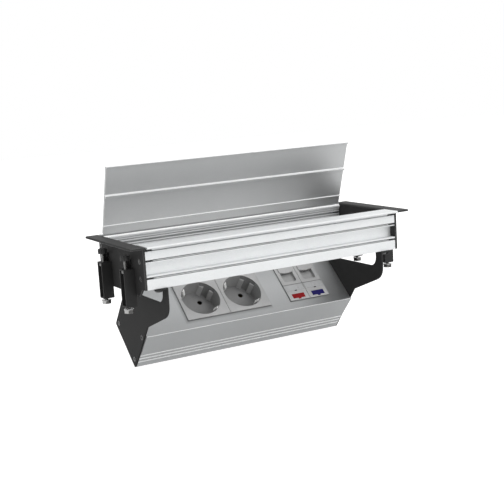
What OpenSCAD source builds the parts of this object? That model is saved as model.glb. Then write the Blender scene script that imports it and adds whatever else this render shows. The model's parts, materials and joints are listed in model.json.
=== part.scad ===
// Socket block that hangs in a cut-out of a table top: two end plates and two
// rails make the frame, a lid closes it, and a tilted profile with mains and
// data sockets hangs below on two side plates.
// X runs along the rails, Y from front to back, and Z = 0 is the table's top.

/* [Frame] */
// Length of both rails, between the end plates
rail_l = 260; // [240:1:400]
// Distance of the end plates' front edge from the middle
front_edge = 48.5; // [48:0.25:50]
// Distance of the end plates' rear edge from the middle
rear_edge = 50.25; // [50:0.25:51]
// Thickness of the end plates and of the rails' lips
end_t = 2; // [1.5:0.25:2.5]
// How far each flange lies over the table beyond its end plate
flange_w = 12; // [11:0.5:20]
// Half the length of a flange
flange_half = 51.8; // [51.5:0.1:53]
// How deep the rails reach below the table's top
drop = 35.4; // [34:0.2:45]
// How much deeper the middle of an end plate reaches than its corners
skirt = 6.6; // [4:0.2:12]
// Length of the sloping edge beside that deeper middle, along Y
skirt_slope = 7; // [5:0.5:9]

/* [Rails] */
// Distance of the rails' outer lips from the middle
lip_reach = 54; // [53:0.5:58]
// Depth of the front rail from its face to the opening
front_rail_w = 15; // [15:0.5:18]
// Distance of the front rail's face from the middle
front_face = 48; // [47:0.25:48]
// Thickness of the walls of both rails
rail_wall = 1.8; // [1.4:0.1:2.2]
// Height of the screw slots in the rails
slot_h = 1.7; // [1.4:0.1:2.4]
// Depth of the upper slot's middle below the table's top
slot_z = 10.75; // [10.5:0.05:11.5]
// Distance between the two slots of a rail
slot_pitch = 14.9; // [14:0.1:16]
// How far the front rail's middle band is set back
band_depth = 7; // [5:0.25:7.2]
// Thickness of the fin between the band and the upper slot
fin_t = 1; // [0.8:0.1:1.5]
// Thickness of the fin between the band and the lower slot
fin_low_t = 1.6; // [1.1:0.1:2]
// Height of the groove right under the front rail's lip
lip_groove_h = 2.5; // [1.8:0.1:2.8]
// Length of the tabs by which an end plate reaches into the front rail's slots
key_l = 6.5; // [4:0.5:9]
// Distance of the front screw channels from the front rail's face
front_port_in = 8.7; // [8:0.1:9.5]
// Thickness of the rear rail from front to back
rear_rail_w = 5.15; // [4.9:0.05:5.6]
// Distance of the rear rail's back from the middle
rear_face = 49.75; // [49.4:0.05:50]
// Distance of the rear screw channels from the rear rail's back
rear_port_in = 2.75; // [2.6:0.05:2.9]
// Depth of the rear rail's upper screw channel below the table's top
rear_slot_z = 7.2; // [6.8:0.1:8]

/* [Lid] */
// Radius of the bead that the lid turns on
bead_r = 2; // [1.8:0.05:2]
// Distance of the lid's axis from the middle
hinge_y = 45.4; // [45.2:0.1:45.8]
// Height of the lid's axis above the table's top
hinge_z = 0; // [-0.2:0.05:0.1]
// Running clearance of the bead in its groove
bead_clear = 0.05; // [0.03:0.01:0.08]
// Thickness of the lips that hold the bead
groove_wall = 1.1; // [0.9:0.05:1.3]
// Length of the lid from its axis to its free edge
lid_w = 69; // [55:0.5:74]
// Thickness of the lid
lid_t = 2; // [1.4:0.1:2]
// Gap between the lid and each end plate
lid_gap = 0.3; // [0.3:0.05:1]
// Angle of the lid above the closed position
lid_open = 71.4; // [0:0.2:95]
// Distance of the thin rib from the axis
rib_near = 10.6; // [8:0.2:16]
// Distance of the stiffening rib from the axis
rib_far = 39.9; // [30:0.2:50]

/* [Clamps] */
// Distance of the front clamps from the middle
clamp_front = 23.5; // [20:0.5:27]
// Distance of the rear clamps from the middle
clamp_rear = 27.5; // [22:0.5:30]
// Width of a clamp's bracket along Y
bracket_w = 9.6; // [9.6:0.1:10.4]
// Depth of a clamp's bracket from the end plate outwards
bracket_d = 10; // [9.5:0.5:11]
// Height of a clamp's bracket
bracket_h = 33; // [28:0.5:36]
// Thickness of the bracket's sheet
bracket_t = 1.2; // [1:0.1:1.25]
// Depth of the bracket's top below the table's top
bracket_z = 19; // [18.5:0.1:21]
// Radius of the pad that presses on the table
pad_r = 4.2; // [3.6:0.1:4.3]
// Height of that pad
pad_t = 4.2; // [3.8:0.1:4.4]
// Depth of the pad's top below the table's top
pad_z = 7.4; // [6.8:0.1:7.8]
// Radius of the clamp screws
clamp_r = 1.5; // [1.4:0.1:1.8]
// Distance of a clamp screw's axis from the end plate
clamp_out = 6; // [5.8:0.1:6.2]
// Size of the square nut across its flats
nut_af = 6.6; // [6.2:0.1:6.8]
// Height of the square nut
nut_h = 2.4; // [2:0.2:3]
// Size of the clamp screw's head across its flats
head_af = 7.4; // [6.6:0.1:8]
// Height of the clamp screw's head
head_h = 3.4; // [3:0.1:4]
// Gap between that head and the bracket
head_gap = 1.8; // [1.8:0.1:3]

/* [Side plates] */
// Thickness of the side plates' sheet
side_t = 1.5; // [1.2:0.1:2]
// Distance of the front arm's outer edge from the middle
arm_front = 50; // [49.8:0.1:50.6]
// Width of the arms below the rails
arm_w = 9.6; // [9:0.2:11]
// Height of the window between the rails and the side plate's top edge
window_h = 15.2; // [12:0.2:18]
// Depth below the rails at which the front arm turns to the profile
arm_turn = 24.6; // [22:0.2:28]
// Outer radius of the front arm where it turns
arm_r = 14; // [8:0.5:16]
// Radius of the window's corners
window_r = 9; // [5:0.5:10]
// Length of the tabs that are screwed to the rails, beyond the side plate
tab_l = 9; // [8:0.25:10]

/* [Socket profile] */
// Length of the profile between the side plates
profile_l = 223.5; // [204:0.5:235]
// Tilt of the sockets' face
tilt = 42; // [40:0.5:44]
// Distance of the face's front lip behind the middle
face_y = 3; // [2:0.1:4]
// Depth of the face's front lip below the rails
hang = 53.4; // [53:0.1:58]
// Depth of the profile, square to its face
box_d = 47.1; // [46:0.1:50]
// Width of the face behind the socket modules, up to its rear edge
face_rest = 1.7; // [1.4:0.1:3]
// Lean of the profile's rear wall
lean = 4.6; // [4.4:0.1:6]
// Thickness of the profile's walls
box_wall = 2; // [1.6:0.1:2.2]
// How far the socket plates and the front lip stand above the face
raise = 1.2; // [0.8:0.1:1.5]
// Distance between the three fine grooves in the lower front wall
groove_pitch = 4.8; // [4:0.1:5]

/* [Mains sockets] */
// Size of a full socket module; a data module is half as wide
module_w = 45; // [45:45]
// Left edge of the first socket module
mains_x = -66.6; // [-76:0.2:-66]
// Number of mains sockets
mains_n = 2; // [2:2]
// Distance of the modules' lower edge from the front lip
module_s = 9.7; // [9.5:0.1:9.9]
// Width of the bare face between mains and data sockets
blank_w = 22; // [20:0.5:26]
// Radius of the recess for the plug
recess_r = 19.15; // [18.8:0.05:19.3]
// Depth of that recess
recess_d = 17.5; // [16:0.25:18]
// Wall of the recess
recess_wall = 1.2; // [1:0.05:1.25]
// Distance between the two contact holes of a socket
contact_pitch = 19; // [19:19]
// Radius of the contact holes
contact_r = 2.6; // [2.5:0.05:2.8]
// Width of the earth clip
clip_w = 3.6; // [3.2:0.1:4.4]
// Width of each guide rib in the recess
rib_w = 4.6; // [4:0.1:5]
// Gap between the two guide ribs of a pair
rib_gap = 6.4; // [6:0.1:7]

/* [Data sockets] */
// Width of the window in a data module
port_w = 14.4; // [14:0.1:15]
// Height of the lower edge of that window in the module
port_s = 23; // [22.6:0.1:23.4]
// Height of that window
port_h = 12; // [11.6:0.1:12.2]
// Travel of the dust shutter
shutter_travel = 8.2; // [7.8:0.1:8.4]
// Width of the jack's mouth
jack_w = 11.9; // [11.8:0.05:12.2]
// Height of the jack's mouth
jack_h = 7.8; // [7.4:0.1:7.8]

/* [Fasteners] */
// Radius of the shanks of all self-tapping screws
screw_r = 1.75; // [1.6:0.05:1.8]
// Radius of their countersunk heads
csk_r = 2.4; // [2.3:0.05:2.7]
// Length of these screws below the sheet
screw_l = 6.2; // [5:0.2:10]
// Clearance round a shank that only passes through
pass_clear = 0.3; // [0.2:0.05:0.4]

/* [Hidden] */
$fn = 48;

// Small amount by which a cutter runs past a face
eps = 0.5;
// Play between moving parts that only pass each other
play = 0.3;
// Play between parts that are pushed together once
seat = 0.1;
// Smallest radius of a bent sheet's inside
bend_r = 0.5;

plate_in = rail_l / 2;
plate_out = plate_in + end_t;
front_inner = front_face - front_rail_w;
rear_inner = rear_face - rear_rail_w;
front_port_y = -front_face + front_port_in;
rear_port_y = rear_face - rear_port_in;
band_top = -slot_z - slot_h / 2 - fin_t;
band_low = -slot_z - slot_pitch + slot_h / 2 + fin_low_t;
// The screw channels lie a little below the middle of the front slots
port_low = 1.05;
port_z = [-slot_z - port_low, -slot_z - slot_pitch - port_low];
lip_groove_d = 9;
fine_pitch = 2.5;
fine_h = 0.8;
fine_d = 0.6;
groove_r = bead_r + bead_clear;
neck_t = 0.8;
neck_l = 3.3;
lid_l = rail_l - 2 * lid_gap;
// The lid runs from 85 degrees, a little past upright, to 180 degrees, closed
mouth_clear = play / groove_r * 180 / PI;
mouth_from = 85 - asin(neck_t / groove_r) - mouth_clear;
mouth_to = 180 + mouth_clear;
face_z = -drop - hang;
arm_rear = rear_face;
half_module = module_w / 2;
data_x = mains_x + mains_n * module_w + blank_w;
cut_in = 1.2;
face_top = module_s + module_w + face_rest;
box_w = face_top - box_d * tan(lean);
data_w = module_w / 2;
// Screws of a side plate, along the face and square to it
box_ports = [[6, -8.3], [5.4, -box_d + 6.1], [box_w - 4.6, -box_d + 6.3]];

// Position in the frame of a point s along the sockets' face and h above it
function at_face_y(s, h) = face_y + s * cos(tilt) - h * sin(tilt);
function at_face_z(s, h) = face_z + s * sin(tilt) + h * cos(tilt);

// Outline whose corners [x, y, r] are rounded with radius r
function unit(v) = v / norm(v);
function corner(a, b, c, r) =
    let (u = unit(a - b), v = unit(c - b), half = acos(u * v) / 2)
    let (mid = b + unit(u + v) * r / sin(half), start = b + u * r / tan(half) - mid)
    let (from = atan2(start[1], start[0]), turn = (u[0] * v[1] - u[1] * v[0]) > 0 ? -1 : 1)
    [for (i = [0:6]) mid + r * [cos(from + turn * i * (180 - 2 * half) / 6),
        sin(from + turn * i * (180 - 2 * half) / 6)]];
function flat(p) = [p[0], p[1]];
function rounded(p) = let (n = len(p))
    [for (i = [0:n - 1]) each p[i][2] == 0 ? [flat(p[i])]
        : corner(flat(p[(i + n - 1) % n]), flat(p[i]), flat(p[(i + 1) % n]), p[i][2])];

// Turns a drawing of Y and Z into a solid along X, centred
module along_x(l) {
    rotate([90, 0, 90]) linear_extrude(l, center = true) children();
}

// Puts children into the sockets' tilted face: X, up the face, out of the face
module at_face() {
    translate([0, face_y, face_z]) rotate([tilt, 0, 0]) children();
}

// Lip of a rail, from y0 outwards to y1, lying on the table with a round nose
module lip_section(y0, y1) {
    side = sign(y1);
    nose = y1 - side * end_t / 2;
    translate([min(y0, nose), 0]) square([abs(nose - y0), end_t]);
    translate([nose, end_t / 2]) circle(end_t / 2);
}

module front_rail_section() {
    inside = front_rail_w - 2 * rail_wall;
    channel = screw_r + rail_wall;
    slot_top = -slot_z + slot_h / 2;
    difference() {
        union() {
            translate([-front_face, -drop]) square([front_rail_w, drop + end_t]);
            lip_section(-front_face, -lip_reach);
        }
        translate([-front_face - eps, band_low]) square([band_depth + eps, band_top - band_low]);
        translate([-front_face - eps, -lip_groove_h]) square([lip_groove_d + eps, lip_groove_h]);
        for (z = [-slot_z, -slot_z - slot_pitch])
            translate([-front_face - eps, z - slot_h / 2]) square([front_port_in + eps, slot_h]);
        for (z = port_z) translate([front_port_y, z]) circle(screw_r);
        // Hollows of the extrusion
        translate([-front_face + rail_wall, slot_top + rail_wall])
            square([inside, -lip_groove_h - slot_top - 2 * rail_wall]);
        translate([-front_face + band_depth + rail_wall, port_z[1] + channel])
            square([front_rail_w - band_depth - 2 * rail_wall, slot_pitch - 2 * channel]);
        translate([-front_face + rail_wall, -drop + rail_wall])
            square([inside, drop + port_z[1] - channel - rail_wall]);
    }
}

module rear_rail_section() {
    low = port_z[1];
    far = 3 * groove_r;
    difference() {
        union() {
            translate([rear_inner, -drop]) square([rear_rail_w, drop + end_t]);
            lip_section(rear_face, lip_reach);
            translate([hinge_y, hinge_z]) circle(groove_r + groove_wall);
        }
        translate([rear_inner - 10, end_t]) square([20, 10]);
        translate([hinge_y, hinge_z]) {
            circle(groove_r);
            // Mouth of the groove, through which the lid's neck passes
            polygon([[0, 0], for (i = [0:4]) let (a = mouth_from + i * (mouth_to - mouth_from) / 4)
                far * [cos(a), sin(a)]]);
        }
        for (z = [-rear_slot_z, low]) {
            translate([rear_inner - eps, z - slot_h / 2])
                square([rear_rail_w - rear_port_in + eps, slot_h]);
            translate([rear_port_y, z]) circle(screw_r);
        }
        // Fine grooves on the side that shows through the opening
        for (i = [-1, 1, 2])
            translate([rear_inner - eps, -rear_slot_z - i * fine_pitch - fine_h / 2])
                square([fine_d + eps, fine_h]);
        // Hollow of the extrusion
        translate([rear_inner + 1.5, low + screw_r + rail_wall])
            square([rear_rail_w - 3, -rear_slot_z - low - 2 * screw_r - 2 * rail_wall]);
    }
}

module front_rail() {
    color([0.87, 0.88, 0.88]) difference() {
        along_x(rail_l) front_rail_section();
        for (side = [-1, 1]) tab_hole(side, -1, screw_r);
    }
}

module rear_rail() {
    color([0.87, 0.88, 0.88]) difference() {
        along_x(rail_l) rear_rail_section();
        for (side = [-1, 1]) tab_hole(side, 1, screw_r);
    }
}

// Outline of an end plate seen along X, with its flange on top
module end_outline() {
    polygon(rounded([[-flange_half, end_t, 0], [-flange_half, 0, 0], [-front_edge, 0, 0],
        [-front_edge, -drop, 1], [-front_edge + 6.5, -drop, 2],
        [-front_edge + 6.5 + skirt_slope, -drop - skirt, 3],
        [rear_edge - 6.5 - skirt_slope, -drop - skirt, 3],
        [rear_edge - 6.5, -drop, 2], [rear_edge, -drop, 1],
        [rear_edge, 0, 0], [flange_half, 0, 0], [flange_half, end_t, 0]]));
}

// Bent sheet seen along Y: upright against the rails, flange outwards
module end_section() {
    outer = bend_r + end_t;
    top = end_t;
    polygon(rounded([[plate_in, -drop - skirt - 1, 0], [plate_out, -drop - skirt - 1, 0],
        [plate_out, 0, bend_r], [plate_out + flange_w, 0, 0],
        [plate_out + flange_w, top, 0.6], [plate_in, top, outer]]));
}

// Where the screws of the rails go through an end plate
function rail_screws() = [[front_port_y, port_z[0]], [front_port_y, port_z[1]],
    [rear_port_y, -rear_slot_z], [rear_port_y, port_z[1]]];

function clamp_ys() = [-clamp_front, clamp_rear];
// The tabs start a little behind the front rail's face
key_back = 0.7;
key_w = 3;

// Locating tab between the heights low and high
module key(low, high) {
    translate([plate_in - key_l, -front_face + key_back, low + seat])
        cube([key_l + end_t / 2, key_w, high - low - 2 * seat]);
}

module end_plate() {
    color([0.2, 0.2, 0.2]) difference() {
        union() {
            intersection() {
                rotate([90, 0, 0]) linear_extrude(2 * flange_half + 2, center = true) end_section();
                translate([plate_in + (flange_w + end_t) / 2, 0, 0]) along_x(flange_w + end_t + 2)
                    end_outline();
            }
            // Locating tabs in the groove under the front rail's lip and in its slots
            key(-lip_groove_h, -bend_r);
            for (z = [-slot_z, -slot_z - slot_pitch]) key(z - slot_h / 2, z + slot_h / 2);
        }
        for (p = rail_screws()) translate([plate_out, p[0], p[1]]) countersink(end_t);
        for (y = clamp_ys()) {
            // Slot for the hook of the clamp's bracket
            translate([plate_in - eps, y + hook_y - play, hook_z - play])
                cube([end_t + 2 * eps, bracket_t + 2 * play, hook_h + 2 * play]);
            for (z = rivet_zs()) translate([plate_in - eps, y, z]) rotate([0, 90, 0])
                cylinder(r = rivet_r + seat, h = end_t + 2 * eps);
        }
    }
}

module left_end_plate() {
    mirror([1, 0, 0]) end_plate();
}

module right_end_plate() {
    end_plate();
}

// Cutter for a countersunk screw that points to -X, its head flush at x = 0
module countersink(t) {
    rotate([0, -90, 0]) {
        translate([0, 0, -eps]) cylinder(r = screw_r + pass_clear, h = t + 2 * eps);
        translate([0, 0, -eps]) cylinder(r = csk_r + seat, h = eps + 0.01);
        cylinder(r1 = csk_r + seat, r2 = screw_r + pass_clear, h = csk_h + seat / 2);
    }
}

// Countersunk self-tapping screw through a sheet of thickness t
module sheet_screw(t) {
    rotate([0, -90, 0]) difference() {
        union() {
            cylinder(r1 = csk_r, r2 = screw_r, h = csk_h);
            translate([0, 0, csk_h - 0.01]) cylinder(r = screw_r, h = t + screw_l - 1.2 - csk_h + 0.01);
            translate([0, 0, t + screw_l - 1.2]) cylinder(r1 = screw_r, r2 = 0.6, h = 1.2);
        }
        // Hexagon socket
        translate([0, 0, -eps]) cylinder(r = 1.35, h = 1 + eps, $fn = 6);
    }
}
csk_h = csk_r - screw_r;

module frame_screws() {
    color([0.25, 0.25, 0.25]) for (m = [0, 1]) mirror([m, 0, 0])
        for (p = rail_screws()) translate([plate_out, p[0], p[1]]) sheet_screw(end_t);
}

// The lid lies along its own length, with its outer side up, then turns up
module lid_section() {
    free = lid_w;
    circle(bead_r);
    translate([-neck_l - 1, 0.05]) square([neck_l + 1, neck_t - 0.05]);
    // Plate with an eased outer edge at its free end
    polygon(rounded([[-neck_l, 0, 0], [-neck_l, lid_t, 0.5], [-free, lid_t, 1.2], [-free, -1.6, 0.4],
        [-free + 1.5, -1.6, 0.4], [-free + 1.5, 0, 0.6]]));
    // Thin rib, stiffening rib
    translate([-rib_near - 0.6, -0.9]) square([1.2, 0.91]);
    polygon(rounded([[-rib_far - 1.6, 0.01, 0], [-rib_far - 0.9, -2, 0.3], [-rib_far + 0.9, -2, 0.3],
        [-rib_far + 1.6, 0.01, 0]]));
}

module lid() {
    color([0.75, 0.76, 0.77]) translate([0, hinge_y, hinge_z]) rotate([-lid_open, 0, 0])
        along_x(lid_l) lid_section();
}

// Clamps: the bracket's tongue rises behind the screw, its hook sits in the slot
tongue_d = 3.2;
tongue_h = 7.4;
hook_y = 1.6;
hook_z = -15.8;
hook_h = 4;
neck_r = 1.1;
neck_in = 2.5;
pad_seat = 0.1;
neck_play = 0.05;
rivet_r = 1.6;
function rivet_zs() = [-bracket_z - 9, -bracket_z - 19];
clamp_x = plate_out + clamp_out;

// Bent bracket: back on the end plate, two sides, top and bottom, open outwards
module bracket(side, y) {
    color([0.17, 0.17, 0.17]) mirror([side < 0 ? 1 : 0, 0, 0])
        translate([plate_out, y, -bracket_z - bracket_h]) difference() {
            union() {
                translate([0, -bracket_w / 2, 0]) cube([bracket_d, bracket_w, bracket_h]);
                translate([0, bracket_w / 2 - bracket_t, bracket_h - 1])
                    cube([tongue_d, bracket_t, tongue_h + 1]);
                translate([0, hook_y, hook_z + bracket_z + bracket_h])
                    cube([bracket_t, bracket_w / 2 - hook_y, hook_h]);
                translate([-end_t + 0.4, hook_y, hook_z + bracket_z + bracket_h])
                    cube([end_t, bracket_t, hook_h]);
            }
            translate([bracket_t, -bracket_w / 2 + bracket_t, bracket_t])
                cube([bracket_d, bracket_w - 2 * bracket_t, bracket_h - 2 * bracket_t]);
            translate([clamp_out, 0, -eps]) cylinder(r = clamp_r + pass_clear, h = bracket_h + 2 * eps);
            for (z = rivet_zs()) translate([-eps, 0, z + bracket_z + bracket_h]) rotate([0, 90, 0])
                cylinder(r = rivet_r + seat, h = bracket_t + 2 * eps);
        }
}

// Blind rivets that hold the brackets on the end plates
module bracket_rivets() {
    color([0.3, 0.3, 0.3]) for (m = [0, 1]) mirror([m, 0, 0])
        for (y = clamp_ys(), z = rivet_zs())
            translate([plate_in, y, z]) rotate([0, 90, 0]) {
                translate([0, 0, -1]) cylinder(r1 = 2.1, r2 = 2.6, h = 1);
                cylinder(r = rivet_r, h = end_t + bracket_t);
                translate([0, 0, end_t + bracket_t]) cylinder(r1 = 2.6, r2 = 1.7, h = 0.9);
            }
}

module clamp_nuts() {
    color([0.75, 0.75, 0.74]) for (m = [0, 1]) mirror([m, 0, 0])
        for (y = clamp_ys()) translate([clamp_x, y, -bracket_z - bracket_t - nut_h]) difference() {
            translate([-nut_af / 2, -nut_af / 2, 0]) cube([nut_af, nut_af, nut_h]);
            translate([0, 0, -eps]) cylinder(r = clamp_r + neck_play, h = nut_h + 2 * eps);
        }
}

// Screw with its hexagon head below the bracket and a neck that turns in the pad
module clamp_screw(side, y) {
    head_top = -bracket_z - bracket_h - head_gap;
    color([0.78, 0.78, 0.78]) translate([side * clamp_x, y, 0]) difference() {
        union() {
            translate([0, 0, head_top - head_h])
                cylinder(r = head_af / 2 / cos(30), h = head_h - 0.8, $fn = 6);
            translate([0, 0, head_top - 0.8]) cylinder(r = head_af / 2 / cos(30), h = 0.8);
            translate([0, 0, head_top - 0.01])
                cylinder(r = clamp_r, h = -pad_z - pad_t - pad_seat - head_top + 0.01);
            translate([0, 0, -pad_z - pad_t - pad_seat - 0.01])
                cylinder(r = neck_r, h = neck_in + pad_seat + 0.01);
        }
        // Cross slot of the head
        for (a = [0, 90]) rotate([0, 0, a]) translate([-2.2, -0.5, head_top - head_h - eps])
            cube([4.4, 1, 1.3 + eps]);
    }
}

// Round pad with a blind bore for the screw's neck and a grooved rim
module clamp_pad(side, y) {
    color([0.12, 0.12, 0.12]) translate([side * clamp_x, y, -pad_z - pad_t]) difference() {
        union() {
            cylinder(r = pad_r, h = pad_t - 0.4);
            translate([0, 0, pad_t - 0.41]) cylinder(r1 = pad_r, r2 = pad_r - 0.4, h = 0.41);
        }
        translate([0, 0, -eps]) cylinder(r = neck_r + neck_play, h = neck_in + 0.2 + eps);
        for (a = [0:30:330]) rotate([0, 0, a]) translate([pad_r, 0, -eps])
            cylinder(r = 0.4, h = pad_t + 2 * eps, $fn = 16);
    }
}

module left_front_bracket() { bracket(-1, -clamp_front); }
module left_rear_bracket() { bracket(-1, clamp_rear); }
module right_front_bracket() { bracket(1, -clamp_front); }
module right_rear_bracket() { bracket(1, clamp_rear); }
module left_front_clamp_screw() { clamp_screw(-1, -clamp_front); }
module left_rear_clamp_screw() { clamp_screw(-1, clamp_rear); }
module right_front_clamp_screw() { clamp_screw(1, -clamp_front); }
module right_rear_clamp_screw() { clamp_screw(1, clamp_rear); }
module left_front_clamp_pad() { clamp_pad(-1, -clamp_front); }
module left_rear_clamp_pad() { clamp_pad(-1, clamp_rear); }
module right_front_clamp_pad() { clamp_pad(1, -clamp_front); }
module right_rear_clamp_pad() { clamp_pad(1, clamp_rear); }

// Side plates
side_in = profile_l / 2;
side_out = side_in + side_t;
tab_x = side_out + tab_l / 2;
tab_screw_l = 4.5;
function tab_y(end) = end < 0 ? -front_face + rail_wall + 3 : rear_port_y;

module side_outline() {
    back_a = tilt + 90 - lean;
    b = [at_face_y(box_w, -box_d), at_face_z(box_w, -box_d)];
    notch = [at_face_y(3.1, 10.9), at_face_z(3.1, 10.9)];
    foot = [at_face_y(0.1, -box_d), at_face_z(0.1, -box_d)];
    polygon(rounded([[-arm_front, -drop, 0], [-arm_front, -drop - arm_turn, arm_r],
        [notch[0], notch[1], 1.5], [foot[0], foot[1], 1], [b[0], b[1], 2],
        [arm_rear, b[1] + (arm_rear - b[0]) * tan(back_a), 3], [arm_rear, -drop, 0],
        [arm_rear - arm_w, -drop, 0], [arm_rear - arm_w, -drop - window_h, window_r],
        [-arm_front + arm_w, -drop - window_h, window_r], [-arm_front + arm_w, -drop, 0]]));
}

// Hole for the screw that holds a tab to a rail
module tab_hole(side, end, r) {
    translate([side * tab_x, tab_y(end), -drop - side_t - eps])
        cylinder(r = r, h = side_t + eps + tab_screw_l + 0.2);
}

module side_plate() {
    color([0.22, 0.22, 0.22]) difference() {
        union() {
            translate([side_in + side_t / 2, 0, 0]) along_x(side_t) side_outline();
            translate([side_in, -arm_front, -drop - side_t]) cube([tab_l + side_t, arm_w, side_t]);
            translate([side_in, arm_rear - arm_w, -drop - side_t]) cube([tab_l + side_t, arm_w, side_t]);
        }
        for (end = [-1, 1]) tab_hole(1, end, screw_r + pass_clear);
        for (p = box_ports) translate([side_out, at_face_y(p[0], p[1]), at_face_z(p[0], p[1])])
            countersink(side_t);
    }
}

module left_side_plate() {
    mirror([1, 0, 0]) side_plate();
}

module right_side_plate() {
    side_plate();
}

module tab_screws() {
    color([0.25, 0.25, 0.25]) for (side = [-1, 1], end = [-1, 1])
        translate([side * tab_x, tab_y(end), -drop - side_t]) difference() {
            union() {
                translate([0, 0, -2.2]) cylinder(r1 = 2.8, r2 = 3.6, h = 1);
                translate([0, 0, -1.21]) cylinder(r = 3.6, h = 1.21);
                translate([0, 0, -0.01]) cylinder(r = screw_r, h = side_t + tab_screw_l);
            }
            translate([0, 0, -2.2 - eps]) cylinder(r = 1.35, h = 1.4 + eps, $fn = 6);
        }
}

module profile_screws() {
    color([0.3, 0.3, 0.3]) for (m = [0, 1]) mirror([m, 0, 0]) for (p = box_ports)
        translate([side_out, at_face_y(p[0], p[1]), at_face_z(p[0], p[1])]) sheet_screw(side_t);
}

// Screw channels of the profile with the webs that carry them
module channels() {
    for (p = box_ports) {
        left = p[0] < box_w / 2;
        translate(p) circle(screw_r + 1.3);
        translate([left ? 0 : p[0], p[1] - 1.5]) square([left ? p[0] : box_w - p[0], 3]);
        if (p[1] < -box_d / 2) translate([p[0] - 1.5, -box_d]) square([3, p[1] + box_d]);
    }
}

// Socket profile, drawn along its face (s) and out of it (h)
module profile_section() {
    w = box_wall;
    top = -raise;
    difference() {
        polygon(rounded([[0, 0, 0.3], [1.6, 0, 0.3], [1.6, top, 0],
            [face_top - raise * tan(lean), top, 0.5], [box_w, -box_d, 1.5], [0, -box_d, 1]]));
        difference() {
            polygon(rounded([[w, top - w, 0.5],
                [face_top - (raise + w) * tan(lean) - w / cos(lean), top - w, 0.5],
                [box_w + w * tan(lean) - w / cos(lean), -box_d + w, 0.5], [w, -box_d + w, 0.5]]));
            channels();
        }
        for (p = box_ports) translate(p) circle(screw_r);
        // Fine grooves low on the front wall
        for (i = [0:2]) translate([-eps, -box_d + 8.4 + i * groove_pitch - 0.5])
            square([0.6 + eps, 1]);
    }
}

// Place of each mains module's middle and each data module's lower left corner
function mains_mid(i) = [mains_x + (i + 0.5) * module_w, module_s + half_module];
function data_corner(i) = [data_x + i * data_w, module_s];

module socket_profile() {
    cut_h = module_w - 2 * cut_in;
    color([0.72, 0.73, 0.74]) at_face() difference() {
        along_x(profile_l) profile_section();
        translate([mains_x + cut_in, module_s + cut_in, -raise - box_wall - 1])
            cube([mains_n * module_w - 2 * cut_in, cut_h, box_wall + 2]);
        translate([data_x + cut_in, module_s + cut_in, -raise - box_wall - 1])
            cube([2 * data_w - 2 * cut_in, cut_h, box_wall + 2]);
        for (b = [mains_bush, data_bush]) translate([b[0], bush_s, -box_d - eps])
            cylinder(r = b[1] + 2, h = box_wall + 2 * eps);
    }
}

// Insert of a mains socket: plate and recess in one moulding
module mains_insert(i) {
    plate = module_w - 2 * seat;
    m = mains_mid(i);
    color([0.7, 0.7, 0.7]) at_face() translate([m[0], m[1], 0]) {
        difference() {
            union() {
                translate([-plate / 2, -plate / 2, -raise]) cube([plate, plate, raise - 0.3]);
                translate([-plate / 2 + 0.3, -plate / 2 + 0.3, -raise])
                    cube([plate - 0.6, plate - 0.6, raise]);
                translate([0, 0, -recess_d - recess_wall])
                    cylinder(r = recess_r + recess_wall, h = recess_d + recess_wall - raise + 0.1);
                // Snap claws behind the profile's face
                for (a = [-1, 1]) translate([-5, a > 0 ? claw_out - 1.7 : -claw_out, -raise - box_wall - 1.5])
                    cube([10, 1.7, 1.4]);
            }
            difference() {
                translate([0, 0, -recess_d]) cylinder(r = recess_r, h = recess_d + eps);
                // Two guide ribs beside each contact hole
                for (a = [45, 225]) rotate([0, 0, a]) for (b = [-1, 1])
                    translate([recess_r - rib_in, b * (rib_gap + rib_w) / 2 - rib_w / 2, -recess_d - eps])
                        cube([4, rib_w, recess_d - rib_low + eps]);
            }
            rotate([0, 0, 45]) for (x = [-1, 1]) translate([x * contact_pitch / 2, 0, -recess_d - 3])
                cylinder(r = contact_r, h = 4);
            rotate([0, 0, 135]) for (x = [-1, 1])
                translate([x * (clip_leg + 0.4) - 0.8, -clip_w / 2 - 0.3, -recess_d - 3])
                    cube([1.6, clip_w + 0.6, 4]);
        }
    }
}
clip_leg = recess_r - 1.35;
clip_t = 0.8;
claw_out = half_module - cut_in + 0.4;
// How far the guide ribs stand in from the wall, and how far below the rim
rib_in = 2.25;
rib_low = 5;

module left_mains_insert() { mains_insert(0); }
module right_mains_insert() { mains_insert(1); }

// Terminal housing behind the insert, with a seat for the clip and the contacts
sleeve_l = 14;
sleeve_t = 0.7;
entry_pitch = 11;
entry_r = 2.6;
module mains_base(i) {
    top = -recess_d - recess_wall;
    h = sleeve_l + 1.5;
    w = recess_r;
    low = recess_r - 4.2;
    up = recess_r - 2.2;
    m = mains_mid(i);
    color([0.3, 0.3, 0.32]) at_face() translate([m[0], m[1], top - h]) difference() {
        union() {
            linear_extrude(h) polygon(rounded([[-w, -low, 3], [w, -low, 3], [w, up, 3], [-w, up, 3]]));
            // Wire entries
            for (x = [-1, 0, 1]) translate([x * entry_pitch, -low, entry_r + 1]) rotate([90, 0, 0])
                cylinder(r = entry_r, h = 1.5);
        }
        rotate([0, 0, 135]) translate([-clip_leg - clip_t - 0.2, -clip_w / 2 - 0.2, h - clip_t - 0.1])
            cube([2 * clip_leg + 2 * clip_t + 0.4, clip_w + 0.4, clip_t + 1]);
        rotate([0, 0, 45]) for (x = [-1, 1]) translate([x * contact_pitch / 2, 0, h - sleeve_l - seat])
            cylinder(r = contact_r + sleeve_t + seat, h = sleeve_l + 1);
        for (x = [-1, 0, 1]) translate([x * entry_pitch, -low - 1, entry_r + 1]) rotate([90, 0, 0])
            cylinder(r = entry_r - 1, h = 6, center = true);
    }
}

module left_mains_base() { mains_base(0); }
module right_mains_base() { mains_base(1); }

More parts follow.
